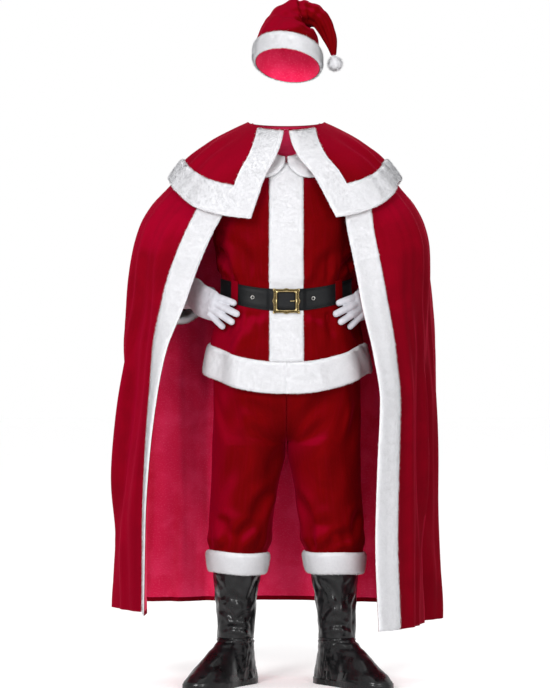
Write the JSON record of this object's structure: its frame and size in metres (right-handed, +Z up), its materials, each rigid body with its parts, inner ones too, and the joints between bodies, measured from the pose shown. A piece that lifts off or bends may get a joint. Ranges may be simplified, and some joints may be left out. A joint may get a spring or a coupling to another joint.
{
  "type": "santa suit",
  "caption": "Red velour costume suit with white fur trim: long cape with capelet, belted jacket, trousers, hat, gloves and boot covers, hollow as worn.",
  "frame": {"origin": "middle of the wearer's neck base, 1.50 m above the floor the boot covers reach", "axes": "+Z up, +X to the wearer's left, the suit's front faces -Y"},
  "size_m": [0.889, 0.5178, 1.8465],
  "materials": {
    "red_velour": "brushed red velour, soft pile",
    "white_fur": "white faux fur",
    "white_cotton": "white knitted cotton",
    "black_belt": "black imitation leather, satin",
    "antique_gold": "cast, antique gold",
    "nickel": "nickel plate",
    "black_vinyl": "glossy black vinyl"
  },
  "bodies": {
    "root": {"belt_buckle": "antique_gold", "belt_eyelet_left": "nickel", "belt_eyelet_right": "nickel", "belt_loop_back_left": "red_velour", "belt_loop_back_right": "red_velour", "belt_loop_front_left": "red_velour", "belt_loop_front_right": "red_velour", "belt_prong": "antique_gold", "belt_strap": "black_belt", "boot_foot_left": "black_vinyl", "boot_foot_right": "black_vinyl", "boot_shaft_left": "black_vinyl", "boot_shaft_right": "black_vinyl", "cape_front_band_left": "white_fur", "cape_front_band_right": "white_fur", "cape_left": "red_velour", "cape_right": "red_velour", "capelet_front_band_left": "white_fur", "capelet_front_band_right": "white_fur", "capelet_hem_band_left": "white_fur", "capelet_hem_band_right": "white_fur", "capelet_left": "red_velour", "capelet_right": "red_velour", "glove_left": "white_cotton", "glove_right": "white_cotton", "hat_band": "white_fur", "hat_crown": "red_velour", "hat_pompom": "white_fur", "jacket_back": "red_velour", "jacket_centre_band": "white_fur", "jacket_collar_left": "white_fur", "jacket_collar_right": "white_fur", "jacket_cuff_left": "white_fur", "jacket_cuff_right": "white_fur", "jacket_front_left": "red_velour", "jacket_front_right": "red_velour", "jacket_hem_band_back": "white_fur", "jacket_hem_band_front_left": "white_fur", "jacket_hem_band_front_right": "white_fur", "jacket_sleeve_left": "red_velour", "jacket_sleeve_right": "red_velour", "trousers_back_left": "red_velour", "trousers_back_right": "red_velour", "trousers_cuff_left": "white_fur", "trousers_cuff_right": "white_fur", "trousers_front_left": "red_velour", "trousers_front_right": "red_velour", "trousers_waistband": "red_velour"}
  },
  "joints": []
}
